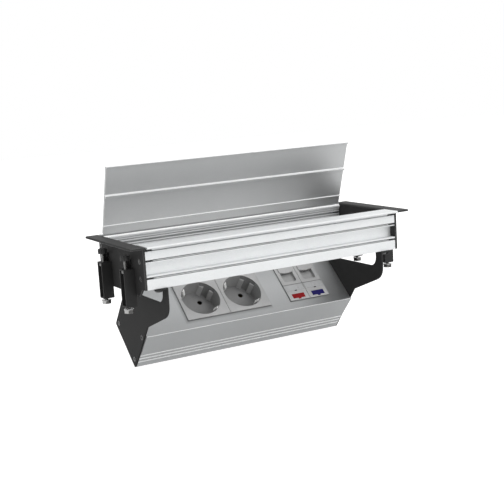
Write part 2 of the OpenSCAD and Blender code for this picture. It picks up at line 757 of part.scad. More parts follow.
// Earth clip: one bent strip below the floor, its ends spring out at the rim
clip_low = -recess_d - recess_wall - clip_t;
clip_in = recess_r - 3.9;
clip_half = [[clip_leg + clip_t, clip_low], [clip_leg + clip_t, -12.6], [clip_in + 1, -7.4],
    [clip_leg + clip_t, -1.6], [clip_leg, -1.3], [clip_in + 0.1, -6.6], [clip_in, -8.2],
    [clip_leg, -13], [clip_leg, clip_low + clip_t]];
module earth_clip(i) {
    n = len(clip_half);
    m = mains_mid(i);
    color([0.83, 0.83, 0.8]) at_face() translate([m[0], m[1], 0]) rotate([0, 0, 135]) rotate([90, 0, 0])
        linear_extrude(clip_w, center = true) polygon([each clip_half,
            for (j = [1:n]) [-clip_half[n - j][0], clip_half[n - j][1]]]);
}

module left_earth_clip() { earth_clip(0); }
module right_earth_clip() { earth_clip(1); }

// Pair of split contact sleeves
module contacts(i) {
    m = mains_mid(i);
    top = -recess_d - recess_wall;
    color([0.8, 0.65, 0.3]) at_face() translate([m[0], m[1], top - sleeve_l]) rotate([0, 0, 45])
        for (x = [-1, 1]) translate([x * contact_pitch / 2, 0, 0]) difference() {
            cylinder(r = contact_r + sleeve_t, h = sleeve_l);
            translate([0, 0, 1.5]) cylinder(r = contact_r, h = sleeve_l);
            translate([-0.4, 0, 4]) cube([0.8, contact_r + 2, sleeve_l]);
        }
}

module left_contacts() { contacts(0); }
module right_contacts() { contacts(1); }

// Data modules: all sizes from the module's lower left corner
shutter_t = 1;
shutter_h = 12.2;
shutter_s = port_s - 0.4;
shutter_deep = 4.4;
track = 0.9;
marker_s = 2.3;
marker_h = 5.4;
label_s = 11.9;
label_h = 7.2;
notch_w = 2.6;
hood_sag = 1.6;
hood_t = 1.1;

// Outline of the hood over the window, its lower edge bowed down
module hood_outline() {
    w = port_w + 1;
    low = port_s + port_h;
    r = (w * w / 4 + hood_sag * hood_sag) / 2 / hood_sag;
    translate([data_w / 2 - w / 2, low - 0.01]) square([w, 6]);
    intersection() {
        translate([data_w / 2, low - hood_sag + r]) circle(r, $fn = 96);
        translate([data_w / 2 - w / 2, low - hood_sag - 1]) square([w, hood_sag + 1]);
    }
}

// Outline of the window itself, its lower corners rounded
module window_outline() {
    a = data_w / 2 - port_w / 2;
    polygon(rounded([[a, port_s, 2.2], [a + port_w, port_s, 2.2], [a + port_w, port_s + port_h, 0],
        [a, port_s + port_h, 0]]));
}

module data_frame(i) {
    c = data_corner(i);
    w = data_w - 2 * seat;
    l = module_w - 2 * seat;
    back = shutter_deep + 1.4;
    mid = data_w / 2;
    inner_w = data_w - 2 * cut_in - 2 * seat;
    color([0.7, 0.7, 0.7]) at_face() translate([c[0], c[1], 0]) difference() {
        union() {
            translate([seat, seat, -raise]) cube([w, l, raise - 0.3]);
            translate([seat + 0.3, seat + 0.3, -raise]) cube([w - 0.6, l - 0.6, raise]);
            // Carrier of the shutter and the jack behind the face
            translate([mid - inner_w / 2, cut_in + seat, -back])
                cube([inner_w, module_w - 2 * cut_in - 2 * seat, back - raise + 0.1]);
            translate([0, 0, -0.1]) linear_extrude(hood_t + 0.1) hood_outline();
        }
        // Window, shutter track and the way through to the jack
        difference() {
            translate([0, 0, -shutter_deep]) linear_extrude(shutter_deep + eps) window_outline();
            translate([0, 0, -raise]) linear_extrude(4) hood_outline();
        }
        translate([mid - port_w / 2 - track - play, shutter_s - play, -shutter_deep - play])
            cube([port_w + 2 * track + 2 * play, shutter_h + shutter_travel + 2 * play,
                shutter_t + 2 * play]);
        translate([mid - jack_w / 2 - 0.5, port_s - 0.2, -back - eps])
            cube([jack_w + 1, jack_h + 0.6, back]);
        // Seats of the label cover and the marker
        translate([seat + 1, label_s, -0.6]) cube([w - 2, label_h, 2]);
        translate([mid - notch_w / 2, label_s - 0.8, -raise - 0.6]) cube([notch_w, 1.2, 3]);
        translate([mid - 7, marker_s, -0.8]) cube([14, marker_h, 2]);
        translate([mid - 1.7, marker_s - 1.2, -0.8]) cube([3.4, 1.3, 2]);
        // Hollow behind the label and the marker
        translate([mid - 8, 2.6, -back - eps]) cube([16, 17.2, back - raise - 0.8 + eps]);
    }
}

module left_data_frame() { data_frame(0); }
module right_data_frame() { data_frame(1); }

module shutter(i) {
    c = data_corner(i);
    color([0.62, 0.62, 0.62]) at_face()
        translate([c[0] + data_w / 2 - port_w / 2 - track, c[1] + shutter_s, -shutter_deep])
            union() {
                cube([port_w + 2 * track, shutter_h, shutter_t]);
                translate([port_w / 2 + track - 3.5, 1.6, shutter_t - 0.01]) cube([7, 0.7, 0.5]);
            }
}

module left_shutter() { shutter(0); }
module right_shutter() { shutter(1); }

// Jack with an open mouth and a latch slot at its top
module jack(i) {
    c = data_corner(i);
    w = 14.5;
    h = 16;
    d = 24;
    top = -shutter_deep - 1.4;
    low = port_s - 3.4;
    color([0.15, 0.15, 0.16]) at_face() translate([c[0] + data_w / 2, c[1], 0]) difference() {
        union() {
            translate([-w / 2, low, top - d]) cube([w, h, d]);
            translate([-w / 2 + 2, low + 2, top - d - 6]) cube([w - 4, h - 5, 6.1]);
        }
        translate([-jack_w / 2, port_s + 0.1, top - 13]) cube([jack_w, jack_h - 1.5, 14]);
        translate([-3.1, port_s + jack_h - 1.5, top - 13]) cube([6.2, 1.5, 14]);
    }
}

module left_jack() { jack(0); }
module right_jack() { jack(1); }

module label_cover(i) {
    c = data_corner(i);
    w = data_w - 2 * seat;
    color([0.72, 0.72, 0.72]) at_face() translate([c[0] + seat + 1 + seat, c[1] + label_s + seat, -0.6])
        difference() {
            cube([w - 2 - 2 * seat, label_h - 2 * seat, 0.6]);
            translate([(w - 2 - 2 * seat - notch_w) / 2, -eps, -eps]) cube([notch_w, eps + 0.3, 2]);
        }
}

module left_label_cover() { label_cover(0); }
module right_label_cover() { label_cover(1); }

// Coloured marker with a small tab at its lower edge
module marker(i, paint) {
    c = data_corner(i);
    color(paint) at_face() translate([c[0] + data_w / 2, c[1], -0.8]) {
        translate([-7 + seat, marker_s + seat, 0]) cube([14 - 2 * seat, marker_h - 2 * seat, 0.9]);
        translate([-1.7 + seat, marker_s - 1.2 + seat, 0]) cube([3.4 - 2 * seat, 1.3, 0.9]);
    }
}

module red_marker() { marker(0, [0.6, 0.08, 0.1]); }
module blue_marker() { marker(1, [0.15, 0.13, 0.45]); }

// Rubber bushes in the profile's underside, place along X and bore radius
mains_bush = [-88, 4];
data_bush = [78, 5];
bush_s = box_w - 18.6;

module cable_bush(b) {
    color([0.1, 0.1, 0.1]) at_face() translate([b[0], bush_s, -box_d]) difference() {
        union() {
            translate([0, 0, -2]) cylinder(r1 = b[1] + 2.6, r2 = b[1] + 3.4, h = 2);
            cylinder(r = b[1] + 1.9, h = box_wall);
            translate([0, 0, box_wall]) cylinder(r1 = b[1] + 3.2, r2 = b[1] + 2.2, h = 1.6);
        }
        translate([0, 0, -3]) cylinder(r = b[1], h = box_wall + 6);
    }
}

module mains_cable_bush() { cable_bush(mains_bush); }
module data_cable_bush() { cable_bush(data_bush); }

left_end_plate();
right_end_plate();
front_rail();
rear_rail();
frame_screws();
lid();
left_front_bracket();
left_rear_bracket();
right_front_bracket();
right_rear_bracket();
bracket_rivets();
clamp_nuts();
left_front_clamp_screw();
left_rear_clamp_screw();
right_front_clamp_screw();
right_rear_clamp_screw();
left_front_clamp_pad();
left_rear_clamp_pad();
right_front_clamp_pad();
right_rear_clamp_pad();
left_side_plate();
right_side_plate();
tab_screws();
socket_profile();
profile_screws();
left_mains_insert();
right_mains_insert();
left_mains_base();
right_mains_base();
left_earth_clip();
right_earth_clip();
left_contacts();
right_contacts();
left_data_frame();
right_data_frame();
left_shutter();
right_shutter();
left_jack();
right_jack();
left_label_cover();
right_label_cover();
red_marker();
blue_marker();
mains_cable_bush();
data_cable_bush();
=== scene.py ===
import json
import math

import bmesh
import bpy
from mathutils import Matrix, Vector


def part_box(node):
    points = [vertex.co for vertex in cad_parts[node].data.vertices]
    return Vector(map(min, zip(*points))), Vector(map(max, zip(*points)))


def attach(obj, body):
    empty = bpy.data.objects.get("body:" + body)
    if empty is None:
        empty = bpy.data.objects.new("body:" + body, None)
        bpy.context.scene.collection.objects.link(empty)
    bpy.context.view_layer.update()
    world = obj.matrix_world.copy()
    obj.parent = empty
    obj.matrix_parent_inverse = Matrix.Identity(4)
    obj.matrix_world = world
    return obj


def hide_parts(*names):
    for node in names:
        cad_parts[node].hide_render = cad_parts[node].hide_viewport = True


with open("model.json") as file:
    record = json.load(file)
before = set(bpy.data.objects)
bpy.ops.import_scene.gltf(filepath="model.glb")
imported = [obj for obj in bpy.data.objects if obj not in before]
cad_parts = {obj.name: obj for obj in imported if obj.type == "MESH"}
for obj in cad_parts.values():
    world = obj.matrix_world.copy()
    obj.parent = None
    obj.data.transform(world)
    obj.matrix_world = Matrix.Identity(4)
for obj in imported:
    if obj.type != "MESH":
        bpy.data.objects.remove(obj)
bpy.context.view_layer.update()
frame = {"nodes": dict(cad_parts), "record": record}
bodyOf = {}
for bodyName, nodeNames in frame["record"]["behaviour"]["bodies"].items():
    for nodeName in nodeNames:
        bodyOf[nodeName] = bodyName
slotOf = {part["node"]: part["material_slot"] for part in frame["record"]["subparts"]}
mm = 0.001
print("frame loaded:", len(slotOf), "nodes")


# Camera: the place and turn that were fitted to the rails' straight edges
cameraView = {
    "place": (-0.4662, -0.8297, 0.1373),
    "azimuth": -29.29,
    "elevation": 9.74,
    "roll": -3.5,
    "lens": 73.63,
    "sensor": 36.0,
    "near": 0.01,
}


def addCamera(v):
    az, el, roll = (math.radians(v[k]) for k in ("azimuth", "elevation", "roll"))
    back = Vector((math.sin(az) * math.cos(el), -math.cos(az) * math.cos(el), math.sin(el)))
    level = Vector((math.cos(az), math.sin(az), 0))
    upright = back.cross(level)
    right = math.cos(roll) * level + math.sin(roll) * upright
    up = -math.sin(roll) * level + math.cos(roll) * upright
    data = bpy.data.cameras.new("camera")
    data.lens = v["lens"]
    data.sensor_width = v["sensor"]
    data.clip_start = v["near"]
    camera = bpy.data.objects.new("camera", data)
    bpy.context.collection.objects.link(camera)
    turn = Matrix((right, up, back)).transposed().to_4x4()
    camera.matrix_world = Matrix.Translation(v["place"]) @ turn
    bpy.context.scene.camera = camera


addCamera(cameraView)
print("camera placed")


# The sockets' tilted face, in mm: x runs along the block, s up the face and h out of it. The two mains
# modules are squares on it, side by side
facePlane = {"y": 3.0, "z": -88.8, "tilt": 42.0}
mains = {"left": -66.6, "low": 9.7, "side": 45.0}
tilt = math.radians(facePlane["tilt"])
faceOrigin = Vector((0, facePlane["y"], facePlane["z"])) * mm
faceUp = Vector((0, math.cos(tilt), math.sin(tilt)))
faceOut = Vector((0, -math.sin(tilt), math.cos(tilt)))


def faceCoordinates(point):
    way = point - faceOrigin
    return point.x / mm, way.dot(faceUp) / mm, way.dot(faceOut) / mm


# Short way to write the node tree of a material or a world
class Nodes:
    def __init__(self, owner, output="ShaderNodeOutputMaterial"):
        owner.use_nodes = True
        self.owner = owner
        self.tree = owner.node_tree
        self.tree.nodes.clear()
        self.out = self.add(output)

    def add(self, kind, links=None, **values):
        node = self.tree.nodes.new(kind)
        for key, value in values.items():
            setattr(node, key, value)
        for key, value in (links or {}).items():
            socket = node.inputs[key]
            if isinstance(value, bpy.types.NodeSocket):
                self.tree.links.new(value, socket)
            else:
                socket.default_value = value
        return node

    def sums(self, operation, *values):
        return self.add("ShaderNodeMath", dict(enumerate(values)), operation=operation).outputs[0]

    def noise(self, size, detail, stretch=(1, 1, 1), rough=0.6):
        place = self.add("ShaderNodeTexCoord").outputs["Object"]
        scaled = self.add("ShaderNodeMapping", {"Vector": place, "Scale": stretch}).outputs[0]
        return self.add("ShaderNodeTexNoise", {"Vector": scaled, "Scale": size, "Detail": detail,
                                               "Roughness": rough}).outputs["Fac"]

    # Stretches value, which runs from start to end, over low to high
    def spread(self, value, low, high, start=0.25, end=0.75):
        return self.add("ShaderNodeMapRange", {"Value": value, "From Min": start, "From Max": end,
                                               "To Min": low, "To Max": high}).outputs[0]

    def half(self, one, other):
        return self.sums("MULTIPLY", self.sums("ADD", one, other), 0.5)

    # From a darker to a lighter shade of the color, as value grows from start to end
    def tint(self, value, color, darker, lighter, start=0.3, end=0.7):
        ramp = self.add("ShaderNodeValToRGB", {"Fac": value})
        for stop, place, factor in zip(ramp.color_ramp.elements, (start, end), (darker, lighter)):
            stop.position = place
            stop.color = (*(part * factor for part in color), 1)
        return ramp.outputs[0]

    def bump(self, height, strength, distance, normal=None):
        links = {"Height": height, "Strength": strength, "Distance": distance}
        if normal:
            links["Normal"] = normal
        return self.add("ShaderNodeBump", links).outputs[0]

    def surface(self, **links):
        shader = self.add("ShaderNodeBsdfPrincipled",
                          {name.replace("_", " "): value for name, value in links.items()})
        self.end(shader)
        return self.owner

    def end(self, last):
        self.tree.links.new(last.outputs[0], self.out.inputs["Surface"])


# Painted shade on the tilted face, in its mm: a soft painted shadow around the mains plates, which deepens
# towards the lip, and a line of painted shade along the joint between a data module's window and its label
# cover
shadeBesidePlates = {"left": mains["left"], "right": mains["left"] + 2 * mains["side"], "low": mains["low"],
                "high": mains["low"] + mains["side"], "wide": 3.6, "depth": 0.66, "rightPull": 3.0,
                "fadeLow": 8.0, "fadeHigh": 34.0, "fade": 0.79}
shadeAlongLabelJoint = {"left": 45.5, "right": 90.3, "low": 28.95, "high": 28.95, "wide": 0.6, "depth": 0.3,
              "rightPull": 1.0, "fadeLow": 0.0, "fadeHigh": 1.0, "fade": 1.0}


# Darkens the color as painted shade near a rectangle on the tilted face, and more towards the lip
def paintShadeBeside(n, color, v):
    place = n.add("ShaderNodeTexCoord").outputs["Object"]
    x = n.add("ShaderNodeSeparateXYZ", {0: place}).outputs[0]
    s = n.add("ShaderNodeVectorMath", {0: place, 1: faceUp}, operation="DOT_PRODUCT").outputs["Value"]
    zero = faceOrigin.dot(faceUp)

    # How far value lies past the edge, times factor
    def past(value, factor, edge):
        return n.sums("MULTIPLY_ADD", value, factor, -factor * edge)

    sideways = n.sums("MAXIMUM", past(x, -1.0, v["left"] * mm), past(x, v["rightPull"], v["right"] * mm))
    upward = n.sums("MAXIMUM", past(s, -1.0, zero + v["low"] * mm), past(s, 1.0, zero + v["high"] * mm))
    dull = n.spread(n.sums("MAXIMUM", sideways, upward), v["depth"], 1.0, start=0.0, end=v["wide"] * mm)
    fade = n.spread(s, v["fade"], 1.0, start=zero + v["fadeLow"] * mm, end=zero + v["fadeHigh"] * mm)
    tone = n.sums("MULTIPLY", dull, fade)
    return n.add("ShaderNodeVectorMath", {0: color, "Scale": tone}, operation="SCALE").outputs["Vector"]


# Satin anodised aluminium, with the fine lines that the extrusion die leaves along X
drawnGrain = {"lineSize": 60, "lineStretch": (0.6, 60, 60), "lineDepth": 0.02, "cloudSize": 14,
              "speckSize": 1300, "etchSize": 2600, "etchDepth": 0.01, "darker": 0.93, "lighter": 1.05,
              "roughSpread": 0.03}


def drawnAluminium(name, look, v=drawnGrain):
    n = Nodes(bpy.data.materials.new(name))
    lines = n.noise(v["lineSize"], detail=2, stretch=v["lineStretch"])
    cloud = n.half(n.noise(v["cloudSize"], detail=3), n.noise(v["speckSize"], detail=2))
    color = n.tint(cloud, look["color"], v["darker"], v["lighter"])
    if "beside" in look:
        color = paintShadeBeside(n, color, look["beside"])
    rough = n.spread(lines, look["rough"] - v["roughSpread"], look["rough"] + v["roughSpread"])
    grain = n.bump(lines, look["lines"], v["lineDepth"] * mm)
    fine = n.bump(n.noise(v["etchSize"], detail=2), look["etch"], v["etchDepth"] * mm, grain)
    return n.surface(Base_Color=color, Metallic=look["metal"], Roughness=rough, Normal=fine)


# Powder coat or lacquer on sheet steel: a fine even skin with a faint orange peel
coatGrain = {"dustSize": 30, "peelDepth": 0.03, "darker": 0.93, "lighter": 1.06, "smoother": 0.04,
             "rougher": 0.05}


def coatedSteel(name, look, v=coatGrain):
    n = Nodes(bpy.data.materials.new(name))
    peel = n.noise(look["peel"], detail=3)
    color = n.tint(n.noise(v["dustSize"], detail=4), look["color"], v["darker"], v["lighter"])
    rough = n.spread(peel, look["rough"] - v["smoother"], look["rough"] + v["rougher"])
    return n.surface(Base_Color=color, Roughness=rough, Specular_IOR_Level=look["specular"],
                     Normal=n.bump(peel, look["bump"], v["peelDepth"] * mm))


# Zinc or nickel plated steel, with a faint cloudiness
platedGrain = {"cloudSize": 260, "speckSize": 900, "speckBump": 0.15, "speckDepth": 0.02, "darker": 0.9,
               "lighter": 1.0, "smoother": 0.05, "rougher": 0.08}


def platedSteel(name, look, v=platedGrain):
    n = Nodes(bpy.data.materials.new(name))
    cloud = n.noise(v["cloudSize"], detail=4)
    color = n.tint(cloud, look["color"], v["darker"], v["lighter"])
    rough = n.spread(cloud, look["rough"] - v["smoother"], look["rough"] + v["rougher"])
    specks = n.bump(n.noise(v["speckSize"], detail=2), v["speckBump"], v["speckDepth"] * mm)
    return n.surface(Base_Color=color, Metallic=1.0, Roughness=rough, Normal=specks)


# Moulded plastic with the fine spark-eroded texture of its tool
mouldGrain = {"flowSize": 40, "grainDepth": 0.03, "darker": 0.86, "lighter": 1.1, "smoother": 0.04,
              "rougher": 0.05}


def mouldedPlastic(name, look, v=mouldGrain):
    n = Nodes(bpy.data.materials.new(name))
    grain = n.noise(look["grain"], detail=3)
    flow = n.half(n.noise(v["flowSize"], detail=3), grain)
    color = n.tint(flow, look["color"], v["darker"], v["lighter"])
    if "beside" in look:
        color = paintShadeBeside(n, color, look["beside"])
    rough = n.spread(grain, look["rough"] - v["smoother"], look["rough"] + v["rougher"])
    return n.surface(Base_Color=color, Roughness=rough, Specular_IOR_Level=look["specular"],
                     Normal=n.bump(grain, look["bump"], v["grainDepth"] * mm))


# Soft rubber: dull, with a little bloom
rubberGrain = {"bloomSize": 120, "skinSize": 1400, "skinBump": 0.25, "skinDepth": 0.03, "lighter": 1.5,
               "sheen": 0.15}


def softRubber(name, look, v=rubberGrain):
    n = Nodes(bpy.data.materials.new(name))
    color = n.tint(n.noise(v["bloomSize"], detail=4), look["color"], 1.0, v["lighter"])
    skin = n.bump(n.noise(v["skinSize"], detail=2), v["skinBump"], v["skinDepth"] * mm)
    return n.surface(Base_Color=color, Roughness=look["rough"], Sheen_Weight=v["sheen"], Normal=skin)


# The first finishes belong to whole nodes, under the names of their material slots
finishes = {
    "black_sheet": (coatedSteel, {"color": (0.034, 0.034, 0.034), "rough": 0.6, "specular": 0.07,
                                  "peel": 900, "bump": 0.35}),
    "black_steel": (coatedSteel, {"color": (0.03, 0.03, 0.03), "rough": 0.55, "specular": 0.15,
                                  "peel": 700, "bump": 0.25}),
    "black_screws": (coatedSteel, {"color": (0.05, 0.05, 0.051), "rough": 0.34, "specular": 0.5,
                                   "peel": 1500, "bump": 0.15}),
    "bright_aluminium": (drawnAluminium, {"color": (0.74, 0.755, 0.76), "rough": 0.5, "metal": 0.4,
                                          "lines": 0.2, "etch": 0.15}),
    # The lid's and the profile's aluminium are painted darker than the rails', as painted shade
    "lid_aluminium": (drawnAluminium, {"color": (0.435, 0.442, 0.445), "rough": 0.42, "metal": 0.75,
                                       "lines": 0.15, "etch": 0.2}),
    "profile_aluminium": (drawnAluminium, {"color": (0.40, 0.405, 0.41), "rough": 0.42, "metal": 0.85,
                                           "lines": 0.15, "etch": 0.3}),
    "zinc": (platedSteel, {"color": (0.36, 0.36, 0.355), "rough": 0.2}),
    # The earth clips are painted near white, as a painted highlight
    "clip_steel": (drawnAluminium, {"color": (0.97, 0.97, 0.96), "rough": 0.3, "metal": 0.15,
                                    "lines": 0.1, "etch": 0.1}),
    # The contacts are painted far darker than brass, as painted shade of their holes
    "brass": (platedSteel, {"color": (0.16, 0.12, 0.06), "rough": 0.35}),
    "socket_grey": (mouldedPlastic, {"color": (0.43, 0.43, 0.43), "rough": 0.5, "specular": 0.3,
                                     "grain": 1300, "bump": 0.3}),
    # The data frames and label covers carry a line of painted shade along their joint
    "data_grey": (mouldedPlastic, {"color": (0.44, 0.44, 0.44), "rough": 0.5, "specular": 0.3,
                                   "grain": 1300, "bump": 0.3, "beside": shadeAlongLabelJoint}),
    "label_grey": (mouldedPlastic, {"color": (0.43, 0.435, 0.44), "rough": 0.3, "specular": 0.5,
                                    "grain": 500, "bump": 0.05, "beside": shadeAlongLabelJoint}),
    "base_dark": (mouldedPlastic, {"color": (0.06, 0.06, 0.065), "rough": 0.5, "specular": 0.4,
                                   "grain": 900, "bump": 0.3}),
    "jack_black": (mouldedPlastic, {"color": (0.03, 0.03, 0.032), "rough": 0.4, "specular": 0.4,
                                    "grain": 900, "bump": 0.2}),
    "red": (mouldedPlastic, {"color": (0.23, 0.007, 0.009), "rough": 0.4, "specular": 0.15,
                             "grain": 900, "bump": 0.1}),
    "blue": (mouldedPlastic, {"color": (0.015, 0.0115, 0.10), "rough": 0.4, "specular": 0.15,
                              "grain": 900, "bump": 0.1}),
    "rubber": (softRubber, {"color": (0.012, 0.012, 0.012), "rough": 0.6}),
    # The others are for places within a node, or for some nodes of a slot
    # The profile's tilted face, painted lighter than its other faces as painted light, with a painted
    # shadow around the mains plates
    "lit_and_shaded_face": (drawnAluminium, {"color": (0.54, 0.55, 0.555), "rough": 0.38, "metal": 0.85,
                                      "lines": 0.15, "etch": 0.3, "beside": shadeBesidePlates}),
    # Painted shade: the profile's front below the lip, and a stretch of the lid's bead
    "painted_shade_aluminium": (drawnAluminium, {"color": (0.315, 0.322, 0.325), "rough": 0.45, "metal": 0.85,
                                       "lines": 0.15, "etch": 0.3}),
    # Painted highlights: eased edges of the lid and profile, the lid's rib flanks, the lip's corner and the
    # front rail's slot strips
    "painted_highlight": (drawnAluminium, {"color": (0.86, 0.87, 0.87), "rough": 0.35, "metal": 0.3,
                                   "lines": 0.1, "etch": 0.1}),
    # Painted highlights: a line along the lid's bead, and painted reflections on the clamp heads' upward
    # faces
    "painted_shine": (drawnAluminium, {"color": (0.97, 0.97, 0.97), "rough": 0.3, "metal": 0.1,
                                   "lines": 0.1, "etch": 0.1}),
    "shaded_aluminium": (drawnAluminium, {"color": (0.66, 0.67, 0.675), "rough": 0.5, "metal": 0.4,
                                          "lines": 0.15, "etch": 0.2}),
    # Painted shade in the rear rail's grooves
    "groove_shade": (drawnAluminium, {"color": (0.30, 0.305, 0.31), "rough": 0.55, "metal": 0.3,
                                     "lines": 0.15, "etch": 0.2}),
    # The front rail's recessed band, painted lighter than the rail as painted light
    "lit_band_aluminium": (drawnAluminium, {"color": (0.80, 0.815, 0.82), "rough": 0.5, "metal": 0.4,
                                        "lines": 0.2, "etch": 0.15}),
    # The end plates, painted a little lighter than the other black sheet as painted light
    "lit_black_sheet": (coatedSteel, {"color": (0.047, 0.047, 0.047), "rough": 0.6, "specular": 0.07,
                                  "peel": 900, "bump": 0.35}),
    # A painted sheen along the end plates' eased edges
    "painted_edge_sheen": (coatedSteel, {"color": (0.07, 0.07, 0.071), "rough": 0.4, "specular": 0.4,
                                  "peel": 900, "bump": 0.2}),
    # Painted highlights on the rims of the screws and rivets
    "screw_rim_highlight": (coatedSteel, {"color": (0.55, 0.55, 0.55), "rough": 0.3, "specular": 0.5,
                                 "peel": 1500, "bump": 0.1}),
    # Painted shade on the clamp nuts, and dark painted reflections on the clamp heads' flats
    "zinc_painted_dark": (platedSteel, {"color": (0.09, 0.09, 0.088), "rough": 0.25}),
    # Dim painted reflections on the clamp heads' flats that face right
    "zinc_painted_dim": (platedSteel, {"color": (0.19, 0.19, 0.185), "rough": 0.35}),
    # Painted shade in the mains sockets' hollows
    "hollow_shade": (mouldedPlastic, {"color": (0.32, 0.32, 0.32), "rough": 0.55, "specular": 0.25,
                                       "grain": 1000, "bump": 0.5}),
    # Deeper painted shade on the hollows' floors, between their guide ribs and on the mains plates' side
    # walls
    "hollow_floor": (mouldedPlastic, {"color": (0.235, 0.235, 0.235), "rough": 0.55, "specular": 0.25,
                                      "grain": 1000, "bump": 0.5}),
    # The shutters, painted darker than the data frames as painted shade of their windows
    "shaded_window_grey": (mouldedPlastic, {"color": (0.37, 0.37, 0.37), "rough": 0.5, "specular": 0.3,
                                     "grain": 1300, "bump": 0.5}),
    "gap_shadow": (mouldedPlastic, {"color": (0.15, 0.15, 0.15), "rough": 0.7, "specular": 0.1,
                                    "grain": 900, "bump": 0.2}),
}
materials = {slot: maker(slot.replace("_", " "), look) for slot, (maker, look) in finishes.items()}
for nodeName, nodeObject in frame["nodes"].items():
    for holder in nodeObject.material_slots:
        holder.material = materials[slotOf[nodeName]]
print("materials made:", len(materials))


# Cleaning of a node's own mesh before work on it: reach in mm, angle in degrees
meshCare = {"merge": 0.002, "flat": 0.6}


def ownMesh(nodeName):
    bm = bmesh.new()
    bm.from_mesh(frame["nodes"][nodeName].data)
    bmesh.ops.remove_doubles(bm, verts=bm.verts, dist=meshCare["merge"] * mm)
    return bm


def joinFlatFaces(bm):
    bmesh.ops.dissolve_limit(bm, angle_limit=math.radians(meshCare["flat"]), verts=bm.verts, edges=bm.edges)


def newPiece(name, bm, finish):
    mesh = bpy.data.meshes.new(name)
    bm.to_mesh(mesh)
    bm.free()
    mesh.materials.append(materials[finish])
    piece = bpy.data.objects.new(name, mesh)
    bpy.context.collection.objects.link(piece)
    return piece


def applyModifiers(piece):
    bpy.context.view_layer.objects.active = piece
    piece.select_set(True)
    for modifier in list(piece.modifiers):
        bpy.ops.object.modifier_apply(modifier=modifier.name)
    piece.select_set(False)


def shadeSoft(piece, angle):
    for face in piece.data.polygons:
        face.use_smooth = True
    piece.data.set_sharp_from_angle(angle=math.radians(angle))


# One more finish for the faces that chosen(face) picks
def refinish(piece, finish, chosen):
    piece.data.materials.append(materials[finish])
    number = len(piece.data.materials) - 1
    for face in piece.data.polygons:
        if chosen(face):
            face.material_index = number


# Eased edges, as deburring or the mould leaves them: width in mm, the painted highlight that the eased
# edges take where it differs from the faces, and whether the node is a plain section. Plain sections are
# eased edge by edge, fine mouldings all by the width that their smallest edge bears
easing = {"angle": 32, "segments": 2, "share": 0.9, "soft": 38, "longEdge": 150, "stripSides": 6}
easedEdges = {
    "left_end_plate": (0.25, "painted_edge_sheen", True), "right_end_plate": (0.25, "painted_edge_sheen", True),
    "left_side_plate": (0.2, None, True), "right_side_plate": (0.2, None, True),
    "front_rail": (0.3, None, True), "rear_rail": (0.15, None, True),
    "lid": (0.25, "painted_highlight", True), "socket_profile": (0.3, "painted_highlight", True),
    "left_mains_insert": (0.2, None, False), "right_mains_insert": (0.2, None, False),
    "left_data_frame": (0.12, None, False), "right_data_frame": (0.12, None, False),
    "left_front_bracket": (0.25, None, False), "left_rear_bracket": (0.25, None, False),
    "right_front_bracket": (0.25, None, False), "right_rear_bracket": (0.25, None, False),
    "left_front_clamp_pad": (0.3, None, False), "left_rear_clamp_pad": (0.3, None, False),
    "right_front_clamp_pad": (0.3, None, False), "right_rear_clamp_pad": (0.3, None, False),
    "clamp_nuts": (0.2, None, False), "red_marker": (0.12, None, False),
    "blue_marker": (0.12, None, False),
    "left_label_cover": (0.1, None, False), "right_label_cover": (0.1, None, False),
    "left_shutter": (0.1, None, False), "right_shutter": (0.1, None, False),
    "left_earth_clip": (0.1, None, False), "right_earth_clip": (0.1, None, False),
    "frame_screws": (0.2, "screw_rim_highlight", False), "profile_screws": (0.12, "screw_rim_highlight", False),
    "tab_screws": (0.15, "screw_rim_highlight", False), "bracket_rivets": (0.12, "screw_rim_highlight", False),
}


# How wide an edge can be eased: half the width of the narrower strip beside it
def roomBeside(edge):
    start, end = (corner.co for corner in edge.verts)
    way = (end - start).normalized()
    widths = [max((corner.co - start).cross(way).length for corner in face.verts)
              for face in edge.link_faces if len(face.verts) <= easing["stripSides"]]
    return min(widths, default=math.inf) / 2


# The socket profile keeps the sharp edges of its cut-outs, which the modules cover
def isEased(edge, nodeName):
    isLong = abs(edge.verts[0].co.x - edge.verts[1].co.x) > easing["longEdge"] * mm
    isSharp = len(edge.link_faces) == 2 and edge.calc_face_angle(0) > math.radians(easing["angle"])
    return isSharp and (isLong or nodeName != "socket_profile")


def easedCopy(nodeName, width, edgeHighlight, plain):
    bm = ownMesh(nodeName)
    joinFlatFaces(bm)
    if plain:
        weight = bm.edges.layers.float.new("bevel_weight_edge")
        for edge in bm.edges:
            if isEased(edge, nodeName):
                edge[weight] = min(1, easing["share"] * roomBeside(edge) / width)
    piece = newPiece(nodeName + "_eased", bm, slotOf[nodeName])
    ease = piece.modifiers.new("ease", "BEVEL")
    ease.width = width
    ease.segments = easing["segments"]
    ease.limit_method = "WEIGHT" if plain else "ANGLE"
    ease.angle_limit = math.radians(easing["angle"])
    ease.use_clamp_overlap = not plain
    if edgeHighlight:
        piece.data.materials.append(materials[edgeHighlight])
        ease.material = 1
    applyModifiers(piece)
    shadeSoft(piece, easing["soft"])
    piece.modifiers.new("even", "WEIGHTED_NORMAL").keep_sharp = True
    applyModifiers(piece)
    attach(piece, bodyOf[nodeName])
    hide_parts(nodeName)
    return piece


eased = {}
for nodeName, (width, edgeHighlight, plain) in easedEdges.items():
    eased[nodeName] = easedCopy(nodeName, width * mm, edgeHighlight, plain)
print("edges eased:", len(easedEdges))


# Nodes painted a little lighter or darker than the others of their slot, as painted light and shade: the
# end plates lighter, the clamp nuts and the shutters darker
ownFinish = {"left_end_plate": "lit_black_sheet", "right_end_plate": "lit_black_sheet", "clamp_nuts": "zinc_painted_dark",
             "left_shutter": "shaded_window_grey", "right_shutter": "shaded_window_grey"}
for nodeName, finish in ownFinish.items():
    eased[nodeName].data.materials[0] = materials[finish]


